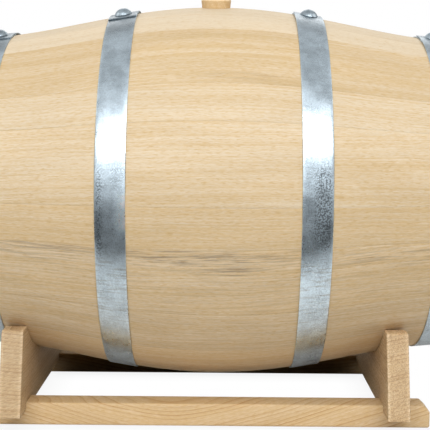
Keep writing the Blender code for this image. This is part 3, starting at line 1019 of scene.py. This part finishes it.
def oak(name, pale, gold, rings, pores):
    """Oak as a solid: rings about the pith, fibres and pores along them, and rays across them.

    rings is (rings per metre, how dark their edges are, the colour they multiply by, how far they sway);
    pores is (pores per metre across, how dark, how sparse, the colour they multiply by).
    """
    ring_rate, ring_depth, ring_tint, ring_sway = rings
    pore_rate, pore_depth, sparse, pore_tint = pores
    tree = Tree(name)
    grain = tree.attribute("grain")
    brightness, golden, grey = tree.split(tree.attribute("tone"))
    char = tree.attribute("char", "Fac")
    place, radius = growth_place(tree, grain, ring_sway)
    ring, ring_line = growth_rings(tree, radius, ring_rate)

    # Noise rates are per metre along the fibres, out from the pith and round it
    bands = tree.noise(place, (3.0, 95.0, 30.0), 2.0)
    lines = tree.noise(place, (3.6, 560.0, 60.0), 3.0, 0.6)
    strands = tree.noise(place, (13.0, 900.0, 320.0), 3.0, 0.65)
    fibres = tree.noise(place, (190.0, 1100.0, 800.0), 1.0, 0.6)
    pore_spots = tree.fade(tree.noise(place, (170.0, pore_rate, pore_rate), 1.0), sparse, sparse + 0.12)
    rays = tree.fade(tree.noise(place, (60.0, 150.0, 1400.0), 1.0), 0.60, 0.78)
    patches = tree.noise(grain, (9.0, 38.0, 38.0), 2.0)
    stain = tree.fade(tree.noise(place, (30.0, 800.0, 160.0), 3.0, 0.65), 0.44, 0.64)

    swings = ((bands, 0.9), (lines, 1.8 - ring_depth), (strands, 1.1), (fibres, 1.5))
    colour = tree.mix(warmth(tree, swings, golden, grey), (*pale, 1.0), (*gold, 1.0))
    colour = tree.multiply(tree.times(ring_line, ring_depth), colour, (*ring_tint, 1.0))
    dim = tree.fade(fibres, 0.3, 0.7, 0.985, 1.015)
    dim = tree.plus(dim, tree.fade(patches, 0.3, 0.7, -0.025, 0.02))
    dim = tree.minus(dim, tree.swing(lines, tree.times(grey, 0.5)))
    colour = tree.shade(colour, dim)
    early = tree.fade(ring, 0.25, 0.75, 1.0, 0.45)
    pore_mask = tree.times(tree.times(pore_spots, early), pore_depth)
    colour = tree.multiply(pore_mask, colour, (*pore_tint, 1.0))
    ray_mask = tree.times(rays, tree.fade(patches, 0.45, 0.65, 0.0, 0.45))
    colour = tree.mix(ray_mask, colour, tuple(min(1.0, 1.06 * c) for c in pale) + (1.0,))
    colour = tree.multiply(tree.times(stain, grey, clamp=True), colour, MINERAL_GREY)
    colour = tree.shade(colour, brightness)
    burnt = tree.times(char, tree.fade(patches, 0.2, 0.8, 1.0, 0.8), clamp=True)
    tree.set("Base Color", tree.mix(burnt, colour, CHARRED))
    tree.set("Roughness", tree.fade(fibres, 0.3, 0.7, 0.52, 0.60))
    tree.set("Specular IOR Level", 0.35)
    relief = tree.minus(tree.times(fibres, 0.5), tree.times(pore_spots, 0.8))
    tree.bump(relief, 0.2, 0.00018)
    return tree.material


def galvanised(name, colour, spangle_rate):
    """Zinc-coated steel: soft spangle, with dark pits and brown scuffs where its "tone" has them."""
    tree = Tree(name)
    grain = tree.attribute("grain")
    brightness, pitted, scuffed = tree.split(tree.attribute("tone"))
    blur = tree.noise(grain, (260.0, 260.0, 260.0), 2.0)
    wander = tree.vector("SCALE", {0: tree.join(blur, blur, 0.0), "Scale": 0.006})
    place = tree.vector("ADD", {0: grain, 1: wander})
    spangle, _, _ = tree.split(tree.add("TexVoronoi", {"Vector": place, "Scale": spangle_rate}, "Color"))
    cloud = tree.noise(grain, (45.0, 45.0, 45.0), 3.0, 0.6)
    speckle = tree.noise(grain, (640.0, 640.0, 640.0), 3.0, 0.6)
    scuff = tree.noise(grain, (560.0, 50.0, 200.0), 2.0, 0.6)
    pits = tree.times(tree.fade(speckle, 0.42, 0.62), pitted, clamp=True)
    scuffs = tree.times(tree.fade(scuff, 0.50, 0.70), scuffed, clamp=True)

    shade = tree.fade(spangle, 0.0, 1.0, 0.92, 1.03)
    shade = tree.times(shade, tree.fade(cloud, 0.3, 0.7, 0.86, 1.06))
    shade = tree.times(shade, tree.fade(speckle, 0.3, 0.7, 1.07, 0.88))
    # On the hoops this brightness carries painted highlights, reflections and shade
    shade = tree.times(shade, brightness)
    shade = tree.times(shade, tree.fade(pits, 0.0, 1.0, 1.0, 0.36))
    tree.set("Base Color", tree.multiply(scuffs, tree.shade((*colour, 1.0), shade), SCUFF_BROWN))
    rough = tree.fade(cloud, 0.3, 0.7, 0.26, 0.36)
    tree.set("Roughness", tree.plus(rough, tree.fade(speckle, 0.3, 0.7, -0.04, 0.06)))
    tree.set("Metallic", 1.0)
    relief = tree.plus(tree.times(speckle, 0.5), tree.times(spangle, 0.12))
    relief = tree.plus(relief, tree.times(scuff, 0.4))
    tree.bump(relief, 0.5, 0.00025)
    return tree.material


def stave_oak():
    rings = (300.0, 0.2, GOLDEN_TINT, 0.008)
    return oak("stave oak", (0.77, 0.62, 0.43), (0.68, 0.48, 0.25), rings, FINE_PORES)


def head_oak():
    rings = (300.0, 0.3, GOLDEN_TINT, 0.008)
    return oak("head oak", (0.74, 0.58, 0.38), (0.64, 0.44, 0.24), rings, FINE_PORES)


def bung_wood():
    rings = (600.0, 0.3, GOLDEN_TINT, 0.003)
    return oak("bung wood", (0.73, 0.56, 0.35), (0.63, 0.42, 0.20), rings, FINE_PORES)


def board_oak():
    rings = (300.0, 1.0, BROWN_TINT, 0.003)
    return oak("board oak", (0.72, 0.55, 0.35), (0.62, 0.42, 0.22), rings, STIPPLE)


def rail_oak():
    rings = (260.0, 1.0, LATE_WOOD_TINT, 0.009)
    return oak("rail oak", (0.73, 0.56, 0.36), (0.64, 0.44, 0.22), rings, FINE_PORES)


def hoop_steel():
    return galvanised("galvanised steel", (0.60, 0.685, 0.735), 170.0)


def screw_zinc():
    return galvanised("zinc screw", (0.62, 0.62, 0.60), 400.0)


# --- Stage ---


def add_plane(name, half_x, half_y, place, material):
    bm = bmesh.new()
    bmesh.ops.create_grid(bm, x_segments=1, y_segments=1, size=1.0)
    bmesh.ops.scale(bm, vec=(half_x, half_y, 1.0), verts=bm.verts)
    bmesh.ops.translate(bm, vec=place, verts=bm.verts)
    plane = new_object(name, bm)
    plane.data.materials.append(material)
    return plane


def add_floor():
    """A white floor that only the camera sees, with a painted contact shadow close under the cradle."""
    material = bpy.data.materials.new("pale floor")
    material.use_nodes = True
    nodes, links = material.node_tree.nodes, material.node_tree.links
    nodes.remove(nodes["Principled BSDF"])
    shader = nodes.new("ShaderNodeEmission")
    links.new(shader.outputs[0], nodes["Material Output"].inputs[0])
    # Painted contact shadow: ambient occlusion darkens the glow down to 0.86 close under the cradle
    shade = nodes.new("ShaderNodeAmbientOcclusion")
    shade.inputs["Distance"].default_value = 0.03
    shade.samples = 8
    tint = nodes.new("ShaderNodeMapRange")
    tint.inputs["To Min"].default_value = 0.86
    tint.inputs["To Max"].default_value = 1.0
    links.new(shade.outputs["AO"], tint.inputs["Value"])
    links.new(tint.outputs[0], shader.inputs["Color"])
    seen = add_plane("floor", FLOOR_HALF, FLOOR_HALF, (0.0, 0.0, 0.0), material)
    for rays in ("visible_diffuse", "visible_glossy", "visible_transmission", "visible_shadow"):
        setattr(seen, rays, False)


def matt(name, colour):
    tree = Tree(name)
    tree.set("Base Color", (*colour, 1.0))
    tree.set("Roughness", 0.9)
    tree.set("Specular IOR Level", 0.0)
    return tree.material


def add_table():
    """What light and reflections see for a floor: a darker table, with a pale card in front and behind."""
    darker = matt("table", (0.62, 0.61, 0.59))
    table = add_plane("table", TABLE_HALF_X, CARD_OUTER_Y, (0.0, 0.0, -TABLE_DEPTH), darker)
    table.visible_camera = False
    pale = matt("card", (0.76, 0.76, 0.75))
    for side, sign in (("front", -1), ("back", 1)):
        middle = sign * (CARD_OUTER_Y + CARD_INNER_Y[side]) / 2
        half = (CARD_OUTER_Y - CARD_INNER_Y[side]) / 2
        card = add_plane(f"card_{side}", TABLE_HALF_X, half, (0.0, middle, -TABLE_DEPTH / 2), pale)
        card.visible_camera = False


def add_flag():
    """A black card close in front of the rear rail, which keeps the rail's face in the shade."""
    rail_low, rail_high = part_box("rail_rear")
    left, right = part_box("cradle_board_left")[1].x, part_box("cradle_board_right")[0].x
    half_width, half_height = (right - left) / 2, (rail_high.z + FLAG_RISE) / 2
    black = matt("black card", (0.0, 0.0, 0.0))
    flag = add_plane("flag", half_width, half_height, (0.0, 0.0, 0.0), black)
    place = Matrix.Translation(((left + right) / 2, rail_low.y - FLAG_DISTANCE, half_height))
    flag.matrix_world = place @ Matrix.Rotation(math.pi / 2, 4, "X")
    flag.visible_camera = False


def add_world():
    """White to the camera; for light, a soft sky over a darker room."""
    world = bpy.data.worlds.new("studio")
    bpy.context.scene.world = world
    world.use_nodes = True
    nodes, links = world.node_tree.nodes, world.node_tree.links
    background = nodes["Background"]
    place = nodes.new("ShaderNodeTexCoord")
    split = nodes.new("ShaderNodeSeparateXYZ")
    ramp = nodes.new("ShaderNodeValToRGB")
    height = nodes.new("ShaderNodeMapRange")
    height.inputs["From Min"].default_value = -1.0
    links.new(place.outputs["Generated"], split.inputs[0])
    links.new(split.outputs[2], height.inputs["Value"])
    links.new(height.outputs[0], ramp.inputs[0])
    # (height, from 0 straight down to 1 straight up, and the brightness there)
    stops = ((0.0, 0.02), (0.20, 0.10), (0.36, 0.13), (0.46, 0.28), (0.56, 0.50))
    stops += ((0.86, 0.50), (0.92, 0.74), (0.97, 0.56), (1.0, 0.48))
    elements = ramp.color_ramp.elements
    while len(elements) < len(stops):
        elements.new(0.5)
    for element, (position, value) in zip(elements, stops):
        element.position = position
        element.color = (value * 0.97, value, value * 1.03, 1.0)
    path = nodes.new("ShaderNodeLightPath")
    mix = nodes.new("ShaderNodeMix")
    mix.data_type = "RGBA"
    links.new(path.outputs["Is Camera Ray"], mix.inputs[0])
    links.new(ramp.outputs[0], mix.inputs[6])
    mix.inputs[7].default_value = (1.0, 1.0, 1.0, 1.0)
    links.new(mix.outputs[2], background.inputs["Color"])


def add_softbox(name, azimuth, elevation, distance, size, radiance, tint=(1.0, 1.0, 1.0), roll=0.0):
    """An area light aimed at the barrel's middle; azimuth 0 is in front, roll lifts its right end."""
    light = bpy.data.lights.new(name, "AREA")
    light.shape = "RECTANGLE"
    light.size, light.size_y = size
    light.color = tint
    light.energy = radiance * math.pi * size[0] * size[1]
    lamp = bpy.data.objects.new(name, light)
    a, e = math.radians(azimuth), math.radians(elevation)
    out = Vector((math.sin(a) * math.cos(e), -math.cos(a) * math.cos(e), math.sin(e)))
    lamp.location = Vector((0.0, 0.0, AXIS_HEIGHT)) + out * distance
    aim = out.to_track_quat("Z", "Y").to_matrix() @ Matrix.Rotation(math.radians(roll), 3, "Z")
    lamp.rotation_euler = aim.to_euler()
    lamp.visible_camera = False
    bpy.context.scene.collection.objects.link(lamp)


def add_lights():
    cool = (0.965, 1.0, 1.045)
    add_softbox("key", 0, 34.1, 1.6, (1.9, 0.50), 5.6, cool, 6)
    add_softbox("key border", 0, 31, 1.65, (2.1, 1.28), 0.75, cool, 7)
    add_softbox("back", 180, 35, 2.2, (1.8, 0.7), 1.2)
    add_softbox("left", -90, 35, 2.2, (1.4, 0.8), 1.2)
    add_softbox("right", 90, 35, 2.2, (1.4, 0.8), 1.2)


def add_camera():
    data = bpy.data.cameras.new("camera")
    data.lens = CAMERA_LENS
    data.sensor_width = 36.0
    camera = bpy.data.objects.new("camera", data)
    turn = Matrix.Rotation(CAMERA_YAW, 3, "Z") @ Matrix.Rotation(math.pi / 2 - CAMERA_PITCH, 3, "X")
    turn = turn @ Matrix.Rotation(CAMERA_ROLL, 3, "Z")
    camera.matrix_world = Matrix.Translation(CAMERA_PLACE) @ turn.to_4x4()
    bpy.context.scene.collection.objects.link(camera)
    bpy.context.scene.camera = camera


# --- Everything ---


def build():
    head_look, hoop_look = head_oak(), hoop_steel()
    board_look, rail_look, screw_look = board_oak(), rail_oak(), screw_zinc()
    add_staves(stave_oak())
    add_head("left", -1, head_look)
    add_head("right", 1, head_look)
    for node in HOOPS:
        add_hoop(node, hoop_look)
    add_bung(bung_wood())
    for side in ("left", "right"):
        add_board(side, board_look)
    for side in ("front", "rear"):
        add_rail(side, rail_look)
        for end in ("left", "right"):
            add_screw(f"screw_{side}_{end}", screw_look)
    add_floor()
    add_table()
    add_flag()
    add_world()
    add_lights()
    add_camera()
    bpy.context.scene.view_settings.view_transform = "Standard"


build()
